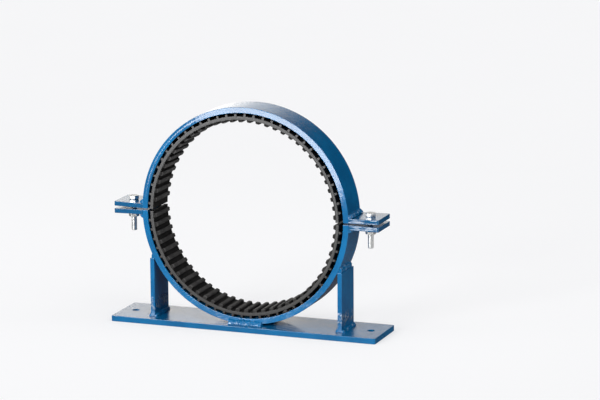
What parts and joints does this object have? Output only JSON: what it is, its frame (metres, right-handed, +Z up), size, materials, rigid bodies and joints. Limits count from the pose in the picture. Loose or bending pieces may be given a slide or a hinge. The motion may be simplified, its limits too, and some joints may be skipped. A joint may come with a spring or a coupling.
{
  "type": "rubber-lined pipe clamp on a base plate",
  "caption": "Split round pipe clamp lined with ribbed rubber, bolted through side ears and welded on short legs to a long flat base plate with an anchor hole near each end.",
  "frame": {"origin": "middle of the base plate's underside, straight below the pipe axis", "axes": "+X along the base plate, +Y along the pipe axis (the front of the clamp faces -Y), +Z up"},
  "size_m": [0.485, 0.1, 0.387],
  "materials": {
    "blue_enamel": "brushed-on gloss enamel over welded flat steel bar, with orange peel and painted-over weld beads",
    "black_rubber": "matte moulded rubber with slightly lighter cut ends",
    "zinc_plated_steel": "bright zinc plating"
  },
  "bodies": {
    "base": {"base_plate": "blue_enamel", "left_leg": "blue_enamel", "right_leg": "blue_enamel", "lower_band": "blue_enamel", "lower_left_ear": "blue_enamel", "lower_right_ear": "blue_enamel", "lower_left_ear_weld": "blue_enamel", "lower_right_ear_weld": "blue_enamel", "left_leg_top_weld": "blue_enamel", "right_leg_top_weld": "blue_enamel", "left_leg_foot_weld": "blue_enamel", "right_leg_foot_weld": "blue_enamel", "front_band_weld": "blue_enamel", "back_band_weld": "blue_enamel", "lower_liner_long": "black_rubber", "lower_liner_short": "black_rubber"},
    "upper_half": {"upper_band": "blue_enamel", "upper_left_ear": "blue_enamel", "upper_right_ear": "blue_enamel", "upper_left_ear_weld": "blue_enamel", "upper_right_ear_weld": "blue_enamel", "upper_liner_long": "black_rubber", "upper_liner_short": "black_rubber"},
    "left_bolt": {"left_bolt": "zinc_plated_steel"},
    "left_washer": {"left_washer": "zinc_plated_steel"},
    "left_nut": {"left_nut": "zinc_plated_steel"},
    "right_bolt": {"right_bolt": "zinc_plated_steel"},
    "right_washer": {"right_washer": "zinc_plated_steel"},
    "right_nut": {"right_nut": "zinc_plated_steel"}
  },
  "joints": [
    {"name": "upper_half_lift", "type": "slide", "parent": "base", "child": "upper_half", "axis": [0, 0, 1], "range_m": [-0.0029, 0.2]},
    {"name": "left_bolt_pull", "type": "slide", "parent": "upper_half", "child": "left_bolt", "axis": [0, 0, 1], "range_m": [0, 0.06]},
    {"name": "left_nut_turn", "type": "hinge", "parent": "left_washer", "child": "left_nut", "pos_m": [-0.2175, 0, 0.182], "axis": [0, 0, -1], "range_deg": [0, 7925]},
    {"name": "left_washer_drop", "type": "slide", "parent": "base", "child": "left_washer", "axis": [0, 0, -1], "range_m": [0, 0.033]},
    {"name": "right_bolt_pull", "type": "slide", "parent": "upper_half", "child": "right_bolt", "axis": [0, 0, 1], "range_m": [0, 0.06]},
    {"name": "right_nut_turn", "type": "hinge", "parent": "right_washer", "child": "right_nut", "pos_m": [0.2175, 0, 0.182], "axis": [0, 0, -1], "range_deg": [0, 7925]},
    {"name": "right_washer_drop", "type": "slide", "parent": "base", "child": "right_washer", "axis": [0, 0, -1], "range_m": [0, 0.033]}
  ],
  "couplings": [
    {"joint": "left_nut_turn", "follows": "left_washer_drop", "rad_per_m": 4188.8},
    {"joint": "right_nut_turn", "follows": "right_washer_drop", "rad_per_m": 4188.8}
  ]
}
